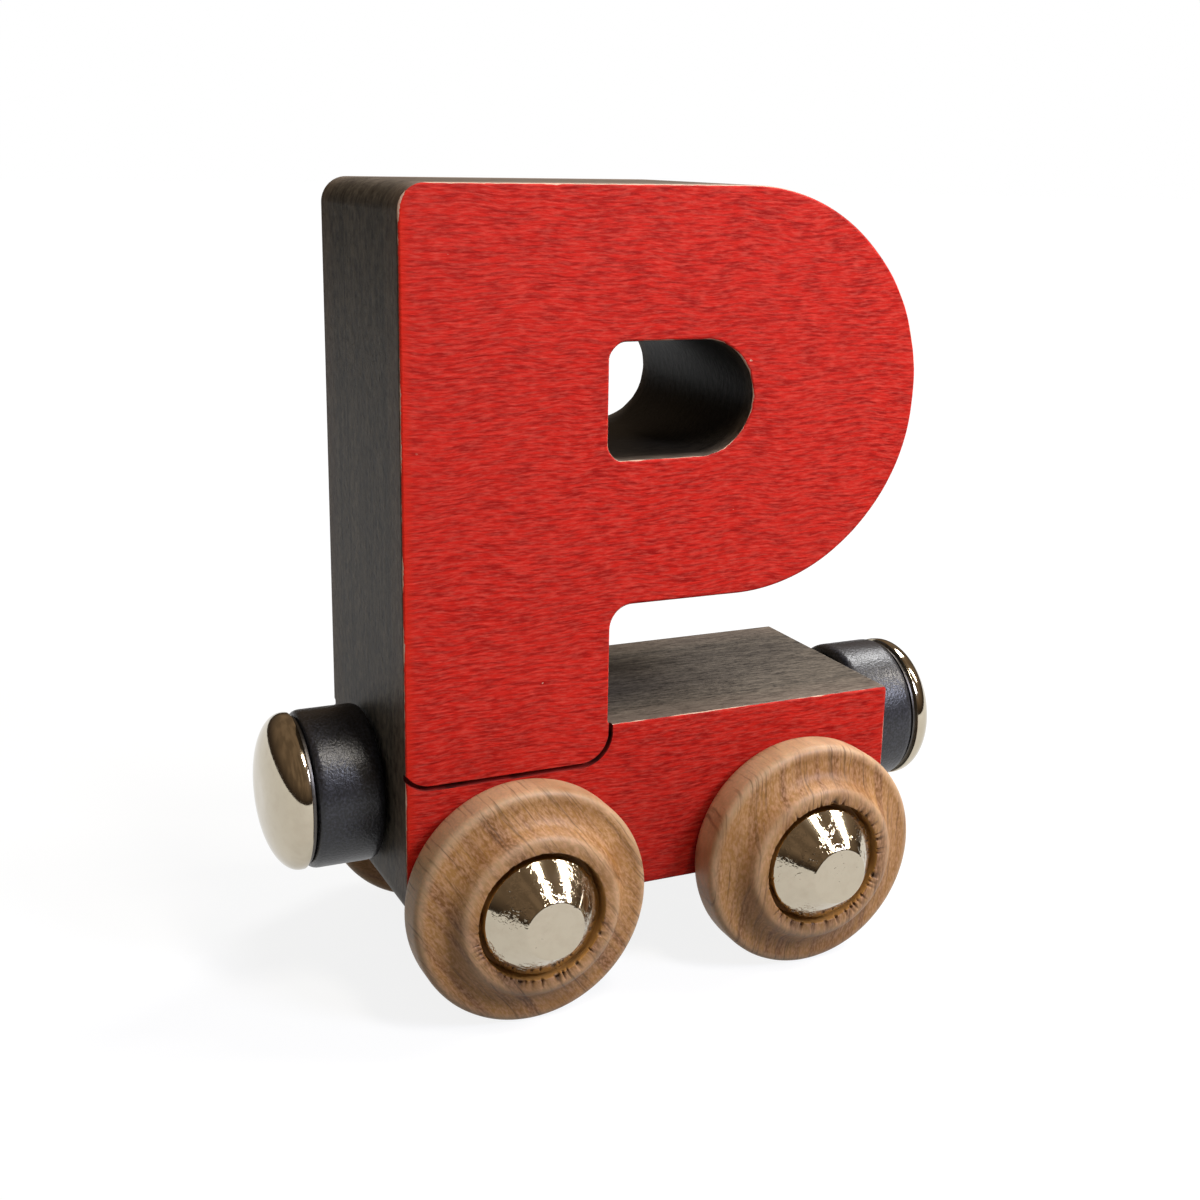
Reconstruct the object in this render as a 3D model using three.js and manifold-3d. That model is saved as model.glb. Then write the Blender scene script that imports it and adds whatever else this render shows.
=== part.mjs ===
// Letter train car: a block letter on a base, cut from one plank, with turned wheels and magnet couplings.
// Millimetres. X runs along the train, -Y is the near side, +Z is up.
// The origin is on the ground, under the middle of the base.
import * as THREE from "three";
import { mergeVertices } from "three/addons/utils/BufferGeometryUtils.js";
import Module from "manifold-3d";

const wasm = await Module();
wasm.setup();

// Plank: the base block and the letter that stands on it
const BODY_THICKNESS = 19.4;
const EDGE_EASING = 0.25; // sanded round along every edge of the two broad faces
const BASE_HEIGHT = 14.1;
const BASE_CORNER_RADIUS = 2.0; // both lower corners
const STEM_WIDTH = 16.55;
const STEM_CORNER_RADIUS = 2.0;
const BOWL_GAP = 9.55; // open space between the base and the bowl
const BOWL_STRAIGHT = 11.0; // level run of the bowl, from the stem to its half round
const BOWL_STROKE = 11.25; // wood above and below the counter
const BOWL_OVERHANG = 0.7; // the bowl past the right end of the base
const BOWL_FILLET_RADIUS = 1.9;
const COUNTER_HEIGHT = 8.8;
const COUNTER_WIDTH = 12.15;
const COUNTER_INTO_STEM = 0.45;
const COUNTER_CORNER_RADIUS = 1.4;

// Engraved line that closes the foot of the letter, on both broad faces
const LINE_WIDTH = 0.5;
const LINE_DEPTH = 0.5;
const LINE_CORNER_RADIUS = 2.5; // at the middle of the line
const LINE_BELOW_BASE_TOP = 3.1;
const LINE_BESIDE_STEM = 0.05;
const LINE_PAST_END = 0.5; // where the left corner would turn upright, past the end of the base

// Wheels, turned with a raised hub ring round a counterbore
const WHEEL_DIAMETER = 19.0;
const WHEEL_WIDTH = 3.5;
const WHEEL_SPACING = 5.7; // between the treads of two wheels on one side
const WHEEL_EDGE_RADIUS = 1.0;
const WHEEL_SIDE_GAP = 0.3;
const WHEEL_BORE_CLEARANCE = 0.3;
const HUB_HEIGHT = 1.7;
const HUB_WALL = 1.15;
const HUB_EDGE_RADIUS = 0.55;
const HUB_FILLET_RADIUS = 0.9;
const COUNTERBORE_DEPTH = 2.0;
const COUNTERBORE_CLEARANCE = 0.45;

// Axle pins, cone headed, pressed into the base
const AXLE_DIAMETER = 2.0;
const AXLE_HEAD_DIAMETER = 9.4;
const AXLE_FLAT_DIAMETER = 4.9;
const AXLE_FLANGE = 0.6; // straight edge under the cone
const AXLE_CONE_HEIGHT = 3.5;
const AXLE_END_PLAY = 0.3;
const AXLE_TIP_SPACING = 3.4; // wood left between the tips of two facing pins
const AXLE_COVER = 0.5; // wood left under an axle hole
const HOLE_CLEARANCE = 0.1;
const HOLE_TIP_CLEARANCE = 0.4;

// Couplings: a ring magnet, a washer and a dome-headed pin at each end
const MAGNET_DIAMETER = 12.5;
const MAGNET_LENGTH = 5.35;
const MAGNET_EDGE_RADIUS = 0.7;
const MAGNET_ABOVE_BASE_MIDDLE = 1.4;
const MAGNET_SIDE_GAP = 0.3;
const MAGNET_END_PLAY = 0.1;
const MAGNET_BORE_CLEARANCE = 0.3;
const WASHER_DIAMETER = 11.8;
const WASHER_THICKNESS = 0.3;
const DOME_DIAMETER = 12.4;
const DOME_EDGE = 0.3; // straight rim under the dome
const DOME_CROWN = 2.4;
const DOME_FLAT_DIAMETER = 2.0; // spot at the crown where two couplings meet
const DOME_SHANK_DIAMETER = 3.2;
const DOME_SHANK_DEPTH = 11.0; // length held in the wood

// Facets
const ROUND_SIDES = 32;
const PIN_SIDES = 24;
const OUTLINE_ARC_STEPS = 6;
const DOME_ARC_STEPS = 4;
const EDGE_ARC_STEPS = 1;
const EASING_STEPS = 2;
const CUT_OVERRUN = 1.0; // how far a cutter starts outside the wood

// Heights, from the ground up
const wheelRadius = WHEEL_DIAMETER / 2;
const axleRadius = AXLE_DIAMETER / 2;
const axleHoleRadius = axleRadius + HOLE_CLEARANCE;
const baseBottom = wheelRadius - axleHoleRadius - AXLE_COVER;
const baseTop = baseBottom + BASE_HEIGHT;
const magnetHeight = baseBottom + BASE_HEIGHT / 2 + MAGNET_ABOVE_BASE_MIDDLE;
const bowlRadius = COUNTER_HEIGHT / 2 + BOWL_STROKE;
const bowlBottom = baseTop + BOWL_GAP;
const bowlMiddle = bowlBottom + bowlRadius;
const letterTop = bowlMiddle + bowlRadius;

// Places along the train
const baseLength = STEM_WIDTH + BOWL_STRAIGHT + bowlRadius - BOWL_OVERHANG;
const baseLeft = -baseLength / 2;
const baseRight = baseLength / 2;
const stemRight = baseLeft + STEM_WIDTH;
const bowlCentre = stemRight + BOWL_STRAIGHT;
const counterRadius = COUNTER_HEIGHT / 2;
const counterLeft = stemRight - COUNTER_INTO_STEM;
const counterCentre = counterLeft + COUNTER_WIDTH - counterRadius;
const axleReach = (WHEEL_DIAMETER + WHEEL_SPACING) / 2;

// Places across the train, from the middle plane outwards
const bodySide = BODY_THICKNESS / 2;
const wheelSide = bodySide + WHEEL_SIDE_GAP;

// Places across one wheel, from its inner face outwards
const wheelBoreRadius = axleRadius + WHEEL_BORE_CLEARANCE;
const counterboreRadius = AXLE_HEAD_DIAMETER / 2 + COUNTERBORE_CLEARANCE;
const hubRadius = counterboreRadius + HUB_WALL;
const hubFace = WHEEL_WIDTH + HUB_HEIGHT;
const counterboreFloor = hubFace - COUNTERBORE_DEPTH;

// Places along one coupling, from the end of the base outwards
const domeShankRadius = DOME_SHANK_DIAMETER / 2;
const domeHoleRadius = domeShankRadius + HOLE_CLEARANCE;
const magnetBoreRadius = domeShankRadius + MAGNET_BORE_CLEARANCE;
const washerBack = MAGNET_SIDE_GAP + MAGNET_LENGTH + MAGNET_END_PLAY;
const domeBack = washerBack + WASHER_THICKNESS;

// Joins the corners of a geometry and leaves out triangles that close up to a line, as at a pole.
function welded(geometry) {
  geometry.deleteAttribute("normal");
  geometry.deleteAttribute("uv");
  const joined = mergeVertices(geometry);
  const corners = joined.index.array;
  const kept = [];
  for (let i = 0; i < corners.length; i += 3) {
    const [a, b, c] = corners.slice(i, i + 3);
    if (a !== b && b !== c && c !== a) kept.push(a, b, c);
  }
  joined.setIndex(kept);
  return joined;
}

function solidOf(geometry) {
  const mesh = new wasm.Mesh({
    numProp: 3,
    vertProperties: geometry.attributes.position.array,
    triVerts: new Uint32Array(geometry.index.array),
  });
  return new wasm.Manifold(mesh);
}

function geometryOf(solid) {
  const mesh = solid.getMesh();
  const geometry = new THREE.BufferGeometry();
  geometry.setAttribute("position", new THREE.BufferAttribute(mesh.vertProperties, 3));
  geometry.setIndex(new THREE.BufferAttribute(mesh.triVerts, 1));
  return geometry;
}

function cut(geometry, cutters) {
  let solid = solidOf(geometry);
  for (const cutter of cutters) solid = solid.subtract(solidOf(cutter));
  return geometryOf(solid);
}

// Turns a profile of (radius, place along the axis) about Y.
// The flats lie on the true circle, and one of them faces straight down.
function turned(profile, sides) {
  const cornerScale = 1 / Math.cos(Math.PI / sides);
  const points = profile.map((point) => new THREE.Vector2(point.x * cornerScale, point.y));
  return welded(new THREE.LatheGeometry(points, sides, Math.PI / sides));
}

function cylinderProfile(radius, from, to) {
  const profile = new THREE.Path();
  profile.moveTo(0, from);
  profile.lineTo(radius, from);
  profile.lineTo(radius, to);
  profile.lineTo(0, to);
  return profile.getPoints();
}

// Extrudes a sheet outline of (x, height) across the train, from y = near to y = far.
function extrudedAcross(shape, near, far, options) {
  const geometry = new THREE.ExtrudeGeometry(shape, { bevelEnabled: false, depth: far - near, ...options });
  geometry.rotateX(Math.PI / 2);
  geometry.translate(0, far, 0);
  return welded(geometry);
}

function counterOutline() {
  const corner = Math.min(COUNTER_CORNER_RADIUS, COUNTER_WIDTH - counterRadius, counterRadius);
  const bottom = bowlMiddle - counterRadius + corner;
  const top = bowlMiddle + counterRadius - corner;
  const outline = new THREE.Path();
  outline.absarc(counterLeft + corner, bottom, corner, Math.PI, 1.5 * Math.PI, false);
  outline.absarc(counterCentre, bowlMiddle, counterRadius, -Math.PI / 2, 0, false);
  outline.absarc(counterCentre, bowlMiddle, counterRadius, 0, Math.PI / 2, false);
  outline.absarc(counterLeft + corner, top, corner, Math.PI / 2, Math.PI, false);
  outline.closePath();
  return outline;
}

function bodyOutline() {
  const fillet = Math.min(BOWL_FILLET_RADIUS, BOWL_STRAIGHT, BOWL_GAP);
  const corner = Math.min(STEM_CORNER_RADIUS, STEM_WIDTH);
  const foot = Math.min(BASE_CORNER_RADIUS, BASE_HEIGHT);
  const outline = new THREE.Shape();
  outline.absarc(baseLeft + foot, baseBottom + foot, foot, Math.PI, 1.5 * Math.PI, false);
  outline.absarc(baseRight - foot, baseBottom + foot, foot, -Math.PI / 2, 0, false);
  outline.lineTo(baseRight, baseTop);
  outline.lineTo(stemRight, baseTop);
  outline.absarc(stemRight + fillet, bowlBottom - fillet, fillet, Math.PI, Math.PI / 2, true);
  outline.absarc(bowlCentre, bowlMiddle, bowlRadius, -Math.PI / 2, 0, false);
  outline.absarc(bowlCentre, bowlMiddle, bowlRadius, 0, Math.PI / 2, false);
  outline.absarc(baseLeft + corner, letterTop - corner, corner, Math.PI / 2, Math.PI, false);
  outline.closePath();
  outline.holes.push(counterOutline());
  return outline;
}

// The engraved line as a ribbon: level under the stem, turned up at both corners, out at both edges.
function lineOutline() {
  const innerRadius = LINE_CORNER_RADIUS - LINE_WIDTH / 2;
  const outerRadius = LINE_CORNER_RADIUS + LINE_WIDTH / 2;
  const leftCentre = baseLeft - LINE_PAST_END + LINE_CORNER_RADIUS;
  const rightCentre = stemRight + LINE_BESIDE_STEM - innerRadius;
  const cornerHeight = baseTop - LINE_BELOW_BASE_TOP + LINE_CORNER_RADIUS;
  const top = Math.max(baseTop, cornerHeight) + CUT_OVERRUN;
  const outline = new THREE.Shape();
  outline.absarc(leftCentre, cornerHeight, outerRadius, Math.PI, 1.5 * Math.PI, false);
  outline.absarc(rightCentre, cornerHeight, outerRadius, -Math.PI / 2, 0, false);
  outline.lineTo(rightCentre + outerRadius, top);
  outline.lineTo(rightCentre + innerRadius, top);
  outline.absarc(rightCentre, cornerHeight, innerRadius, 0, -Math.PI / 2, true);
  outline.absarc(leftCentre, cornerHeight, innerRadius, -Math.PI / 2, -Math.PI, true);
  outline.closePath();
  return outline;
}

// A blind hole for an axle pin, open at the far side.
function axleHole() {
  const tip = AXLE_TIP_SPACING / 2 - HOLE_TIP_CLEARANCE;
  return turned(cylinderProfile(axleHoleRadius, tip, bodySide + CUT_OVERRUN), PIN_SIDES);
}

// A blind hole for a dome pin, open at the right end.
function domeHole() {
  const tip = baseRight - DOME_SHANK_DEPTH - HOLE_TIP_CLEARANCE;
  const hole = turned(cylinderProfile(domeHoleRadius, tip, baseRight + CUT_OVERRUN), PIN_SIDES);
  return hole.rotateZ(-Math.PI / 2).translate(0, 0, magnetHeight);
}

function makeBody() {
  const easing = {
    bevelEnabled: true,
    bevelThickness: EDGE_EASING,
    bevelSize: EDGE_EASING,
    bevelOffset: -EDGE_EASING,
    bevelSegments: EASING_STEPS,
    curveSegments: OUTLINE_ARC_STEPS,
  };
  const plank = extrudedAcross(bodyOutline(), EDGE_EASING - bodySide, bodySide - EDGE_EASING, easing);
  const lineSteps = { curveSegments: OUTLINE_ARC_STEPS };
  const nearLine = extrudedAcross(lineOutline(), -bodySide - CUT_OVERRUN, LINE_DEPTH - bodySide, lineSteps);
  const farLine = extrudedAcross(lineOutline(), bodySide - LINE_DEPTH, bodySide + CUT_OVERRUN, lineSteps);
  const cutters = [nearLine, farLine];
  for (const turn of [0, Math.PI]) {
    cutters.push(domeHole().rotateZ(turn));
    for (const x of [-axleReach, axleReach]) {
      cutters.push(axleHole().rotateZ(turn).translate(x, 0, wheelRadius));
    }
  }
  return cut(plank, cutters);
}

// The wheel's hub points along +Y.
function makeWheel() {
  const edge = Math.min(WHEEL_EDGE_RADIUS, WHEEL_WIDTH / 2, (wheelRadius - hubRadius) / 2);
  const hubEdge = Math.min(HUB_EDGE_RADIUS, HUB_WALL, HUB_HEIGHT / 2);
  const fillet = Math.min(HUB_FILLET_RADIUS, HUB_HEIGHT - hubEdge, wheelRadius - hubRadius - edge);
  const profile = new THREE.Path();
  profile.moveTo(wheelBoreRadius, 0);
  profile.lineTo(wheelRadius - edge, 0);
  profile.absarc(wheelRadius - edge, edge, edge, -Math.PI / 2, 0, false);
  profile.absarc(wheelRadius - edge, WHEEL_WIDTH - edge, edge, 0, Math.PI / 2, false);
  profile.absarc(hubRadius + fillet, WHEEL_WIDTH + fillet, fillet, -Math.PI / 2, -Math.PI, true);
  profile.absarc(hubRadius - hubEdge, hubFace - hubEdge, hubEdge, 0, Math.PI / 2, false);
  profile.lineTo(counterboreRadius, hubFace);
  profile.lineTo(counterboreRadius, counterboreFloor);
  profile.lineTo(wheelBoreRadius, counterboreFloor);
  profile.closePath();
  return turned(profile.getPoints(EDGE_ARC_STEPS), ROUND_SIDES).translate(0, wheelSide, 0);
}

// The pin points along +Y, with its head in the wheel's counterbore and its tip near the middle plane.
function makeAxlePin() {
  const headBack = wheelSide + counterboreFloor + AXLE_END_PLAY;
  const coneBack = headBack + AXLE_FLANGE;
  const profile = new THREE.Path();
  profile.moveTo(0, AXLE_TIP_SPACING / 2);
  profile.lineTo(axleRadius, AXLE_TIP_SPACING / 2);
  profile.lineTo(axleRadius, headBack);
  profile.lineTo(AXLE_HEAD_DIAMETER / 2, headBack);
  profile.lineTo(AXLE_HEAD_DIAMETER / 2, coneBack);
  profile.lineTo(AXLE_FLAT_DIAMETER / 2, coneBack + AXLE_CONE_HEIGHT);
  profile.lineTo(0, coneBack + AXLE_CONE_HEIGHT);
  return turned(profile.getPoints(), PIN_SIDES);
}

function makeMagnet() {
  const radius = MAGNET_DIAMETER / 2;
  const edge = Math.min(MAGNET_EDGE_RADIUS, MAGNET_LENGTH / 2, radius - magnetBoreRadius);
  const back = MAGNET_SIDE_GAP;
  const front = back + MAGNET_LENGTH;
  const profile = new THREE.Path();
  profile.moveTo(magnetBoreRadius, back);
  profile.lineTo(radius - edge, back);
  profile.absarc(radius - edge, back + edge, edge, -Math.PI / 2, 0, false);
  profile.absarc(radius - edge, front - edge, edge, 0, Math.PI / 2, false);
  profile.lineTo(magnetBoreRadius, front);
  profile.closePath();
  return turned(profile.getPoints(EDGE_ARC_STEPS), ROUND_SIDES);
}

function makeWasher() {
  const profile = new THREE.Path();
  profile.moveTo(domeHoleRadius, washerBack);
  profile.lineTo(WASHER_DIAMETER / 2, washerBack);
  profile.lineTo(WASHER_DIAMETER / 2, domeBack);
  profile.lineTo(domeHoleRadius, domeBack);
  profile.closePath();
  return turned(profile.getPoints(), ROUND_SIDES);
}

// A shank with a domed head: a straight rim, then a quarter ellipse in to a small flat crown.
function makeDomePin() {
  const radius = DOME_DIAMETER / 2;
  const flat = DOME_FLAT_DIAMETER / 2;
  const rim = domeBack + DOME_EDGE;
  const profile = new THREE.Path();
  profile.moveTo(0, -DOME_SHANK_DEPTH);
  profile.lineTo(domeShankRadius, -DOME_SHANK_DEPTH);
  profile.lineTo(domeShankRadius, domeBack);
  profile.lineTo(radius, domeBack);
  profile.absellipse(flat, rim, radius - flat, DOME_CROWN, 0, Math.PI / 2, false, 0);
  profile.lineTo(0, rim + DOME_CROWN);
  return turned(profile.getPoints(DOME_ARC_STEPS), ROUND_SIDES);
}

const PAINTED_WOOD = { color: 0xc53229, roughness: 0.6, metalness: 0 };
const BARE_WOOD = { color: 0xb58a63, roughness: 0.7, metalness: 0 };
const NICKEL = { color: 0xc9c3b4, roughness: 0.18, metalness: 1 };
const FERRITE = { color: 0x45454b, roughness: 0.5, metalness: 0.3 };
const STEEL = { color: 0x5c5a58, roughness: 0.4, metalness: 1 };

function meshOf(name, geometry, finish) {
  const material = new THREE.MeshStandardMaterial({ ...finish, flatShading: true });
  const mesh = new THREE.Mesh(geometry, material);
  mesh.name = name;
  return mesh;
}

const car = new THREE.Group();
car.add(meshOf("letter_body", makeBody(), PAINTED_WOOD));

// Four wheels and their pins. A front wheel is a back wheel turned half round.
for (const [side, turn] of [["front", Math.PI], ["back", 0]]) {
  for (const [end, x] of [["left", -axleReach], ["right", axleReach]]) {
    const station = new THREE.Group();
    station.add(meshOf(`wheel_${side}_${end}`, makeWheel(), BARE_WOOD));
    station.add(meshOf(`axle_pin_${side}_${end}`, makeAxlePin(), NICKEL));
    station.position.set(x, 0, wheelRadius);
    station.rotation.z = turn;
    car.add(station);
  }
}

// A coupling at each end, pointing out of the base.
for (const [end, x, turn] of [["left", baseLeft, Math.PI / 2], ["right", baseRight, -Math.PI / 2]]) {
  const coupling = new THREE.Group();
  coupling.add(meshOf(`magnet_${end}`, makeMagnet(), FERRITE));
  coupling.add(meshOf(`magnet_washer_${end}`, makeWasher(), STEEL));
  coupling.add(meshOf(`magnet_pin_${end}`, makeDomePin(), NICKEL));
  coupling.position.set(x, 0, magnetHeight);
  coupling.rotation.z = turn;
  car.add(coupling);
}

export default car;
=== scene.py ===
import math
import bmesh
import bpy
import numpy as np
from mathutils import Matrix, Vector


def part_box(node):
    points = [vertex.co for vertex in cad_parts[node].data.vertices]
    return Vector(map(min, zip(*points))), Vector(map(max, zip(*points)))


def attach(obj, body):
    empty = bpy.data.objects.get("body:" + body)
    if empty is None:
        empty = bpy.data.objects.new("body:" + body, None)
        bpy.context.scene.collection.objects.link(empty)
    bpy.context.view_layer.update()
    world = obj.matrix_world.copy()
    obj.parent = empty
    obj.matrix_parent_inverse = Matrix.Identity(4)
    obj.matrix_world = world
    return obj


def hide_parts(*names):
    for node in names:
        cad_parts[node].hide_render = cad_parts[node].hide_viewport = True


# Letter train car: the looks. Shapes are written in millimetres and put into the meshes in metres.
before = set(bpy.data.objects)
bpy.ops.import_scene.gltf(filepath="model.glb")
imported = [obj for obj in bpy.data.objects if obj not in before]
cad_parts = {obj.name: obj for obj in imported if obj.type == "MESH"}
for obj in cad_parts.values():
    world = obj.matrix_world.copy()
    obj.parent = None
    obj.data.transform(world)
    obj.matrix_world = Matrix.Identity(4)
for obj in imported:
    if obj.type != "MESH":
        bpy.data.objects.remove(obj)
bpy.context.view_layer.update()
scene = bpy.context.scene
scene.view_settings.view_transform = "Standard"
mm = 0.001
print("frame loaded:", len(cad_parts), "nodes")


# sRGB hex to linear red, green, blue, alpha
def hexColour(code):
    srgb = np.array([int(code[i:i + 2], 16) for i in (1, 3, 5)]) / 255
    linear = np.where(srgb <= 0.04045, srgb / 12.92, ((srgb + 0.055) / 1.055) ** 2.4)
    return (*linear.tolist(), 1.0)


# Adds a node, sets its options, and sets or links its inputs, which come in order or by name or number
def put(tree, kind, inputs=(), **options):
    made = tree.nodes.new("ShaderNode" + kind)
    for name, value in options.items():
        setattr(made, name, value)
    for key, value in inputs.items() if isinstance(inputs, dict) else enumerate(inputs):
        if isinstance(value, bpy.types.NodeSocket):
            tree.links.new(value, made.inputs[key])
        else:
            made.inputs[key].default_value = value
    return made


# A new material with only its output, and a point of the piece in millimetres
def startMaterial(name):
    material = bpy.data.materials.new(name)
    material.use_nodes = True
    tree = material.node_tree
    tree.nodes.clear()
    metres = put(tree, "TexCoord").outputs["Object"]
    point = put(tree, "Mapping", {"Vector": metres, "Scale": (1 / mm, 1 / mm, 1 / mm)}).outputs[0]
    return material, tree, point


# Joins the finished shader to the material's output
def endMaterial(tree, shader):
    put(tree, "OutputMaterial", {"Surface": shader.outputs[0]})


# The two corners of a box from the frame, turned from metres to millimetres
def millimetres(box):
    return [np.array(corner) / mm for corner in box]


# Camera: the photograph's viewing angle, solved from the straight edges of the body
camera = {
    "azimuth": -24.891, "elevation": 15.440, "roll": 1.059,  # degrees
    "distance": 134.35, "target": (-1.117, 0.0, 29.23),  # mm
    "lens": 48.642, "sensor": 36.0, "clipStart": 5.0,  # mm
}


# Back points from the target to the camera; the other two axes lie square to it and are rolled about it
def makeCamera():
    azimuth, elevation, roll = (math.radians(camera[k]) for k in ("azimuth", "elevation", "roll"))
    level = math.cos(elevation)
    back = Vector((math.sin(azimuth) * level, -math.cos(azimuth) * level, math.sin(elevation)))
    right = (-back).cross(Vector((0, 0, 1))).normalized()
    up = right.cross(-back)
    rolledRight = right * math.cos(roll) + up * math.sin(roll)
    rolledUp = up * math.cos(roll) - right * math.sin(roll)
    data = bpy.data.cameras.new("camera")
    data.lens = camera["lens"]
    data.sensor_width = camera["sensor"]
    data.clip_start = camera["clipStart"] * mm
    seat = bpy.data.objects.new("camera", data)
    turn = Matrix((rolledRight, rolledUp, back)).transposed()
    stand = (Vector(camera["target"]) + back * camera["distance"]) * mm
    seat.matrix_world = Matrix.Translation(stand) @ turn.to_4x4()
    scene.collection.objects.link(seat)
    scene.camera = seat


makeCamera()
print("camera in place")


# Meshes

# Four-cornered faces between neighbouring rows and columns of a grid, joined round where it wraps
def gridFaces(rows, columns, wrapRows, wrapColumns):
    index = np.arange(rows * columns).reshape(rows, columns)
    index = np.vstack([index, index[:1]]) if wrapRows else index
    index = np.hstack([index, index[:, :1]]) if wrapColumns else index
    corners = [index[:-1, :-1], index[1:, :-1], index[1:, 1:], index[:-1, 1:]]
    return np.stack(corners, axis=-1).reshape(-1, 4)


# One mesh from several grids of points; a grid is (points, wrap rows, wrap columns)
def meshFrom(name, grids, attributes=None):
    counts = np.cumsum([0] + [g[0].shape[0] * g[0].shape[1] for g in grids])
    points = np.concatenate([g[0].reshape(-1, 3) for g in grids]) * mm
    faces = np.concatenate([gridFaces(*g[0].shape[:2], g[1], g[2]) + c for g, c in zip(grids, counts)])
    mesh = bpy.data.meshes.new(name)
    mesh.vertices.add(len(points))
    mesh.vertices.foreach_set("co", points.ravel())
    mesh.loops.add(faces.size)
    mesh.loops.foreach_set("vertex_index", faces.ravel())
    mesh.polygons.add(len(faces))
    mesh.polygons.foreach_set("loop_start", np.arange(0, faces.size, 4))
    mesh.update(calc_edges=True)
    for key, values in (attributes or {}).items():
        layer = mesh.attributes.new(key, "FLOAT", "POINT")
        layer.data.foreach_set("value", values.ravel().astype(np.float32))
    return mesh


# Merges doubles, fills the open loops on each side of the middle plane and turns every face outwards
def closeMesh(mesh):
    work = bmesh.new()
    work.from_mesh(mesh)
    bmesh.ops.remove_doubles(work, verts=work.verts, dist=1e-7)
    bmesh.ops.dissolve_degenerate(work, edges=work.edges, dist=1e-8)
    rims = [edge for edge in work.edges if edge.is_boundary]
    for side in (-1, 1):
        loops = [edge for edge in rims if edge.verts[0].co.y * side > 0]
        if loops:
            bmesh.ops.triangle_fill(work, use_beauty=True, edges=loops)
    bmesh.ops.recalc_face_normals(work, faces=work.faces)
    work.to_mesh(mesh)
    work.free()
    return mesh


# Smooth shading, with a sharp edge wherever two faces meet at more than the angle in degrees
def smoothMesh(mesh, sharpAngle):
    mesh.polygons.foreach_set("use_smooth", np.ones(len(mesh.polygons), bool))
    mesh.set_sharp_from_angle(angle=math.radians(sharpAngle))


# Puts a mesh into the scene in the place of its CAD node
def place(mesh, node, body, materials):
    piece = bpy.data.objects.new(mesh.name, mesh)
    scene.collection.objects.link(piece)
    for material in materials:
        mesh.materials.append(material)
    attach(piece, body)
    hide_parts(node)
    return piece


# Corners of (radius, along, ease) joined by lines, each corner eased by a parabola over its two sides
def easedProfile(corners, steps, closed=True):
    corner = np.array(corners, float)
    point, ease = corner[:, :2], corner[:, 2:]
    before, after = np.roll(point, 1, axis=0) - point, np.roll(point, -1, axis=0) - point
    start = point + before / np.linalg.norm(before, axis=1, keepdims=True) * ease
    end = point + after / np.linalg.norm(after, axis=1, keepdims=True) * ease
    t = np.linspace(0, 1, steps)[None, :, None]
    curve = (1 - t) ** 2 * start[:, None] + 2 * t * (1 - t) * point[:, None] + t ** 2 * end[:, None]
    if not closed:
        curve[0], curve[-1] = point[0], point[-1]
    return curve.reshape(-1, 2)


# A profile of (radius, along) carried round an axis: rows go round it, columns follow the profile
def turnedGrid(profile, turns, centre, axis):
    axis = np.array(axis, float)
    side = np.array((0.0, 0.0, 1.0))
    across = np.cross(axis, side)
    angle = np.linspace(0, 2 * np.pi, turns, endpoint=False)[:, None, None]
    radius, along = profile[..., 0:1], profile[..., 1:2]
    return np.array(centre) + along * axis + radius * (np.cos(angle) * side + np.sin(angle) * across)


# Random heights at even knots round a loop, joined by straight runs
def loopNoise(places, knots, random):
    return np.interp(places, np.arange(knots) / knots, random.uniform(-1, 1, knots), period=1.0)


# Finishes. A pattern's size is in mm along the car, across it and up. A span, turn, rise or run gives the two
# ends of what is read and, where they aren't 0 and 1, the two ends of what it becomes.

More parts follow.
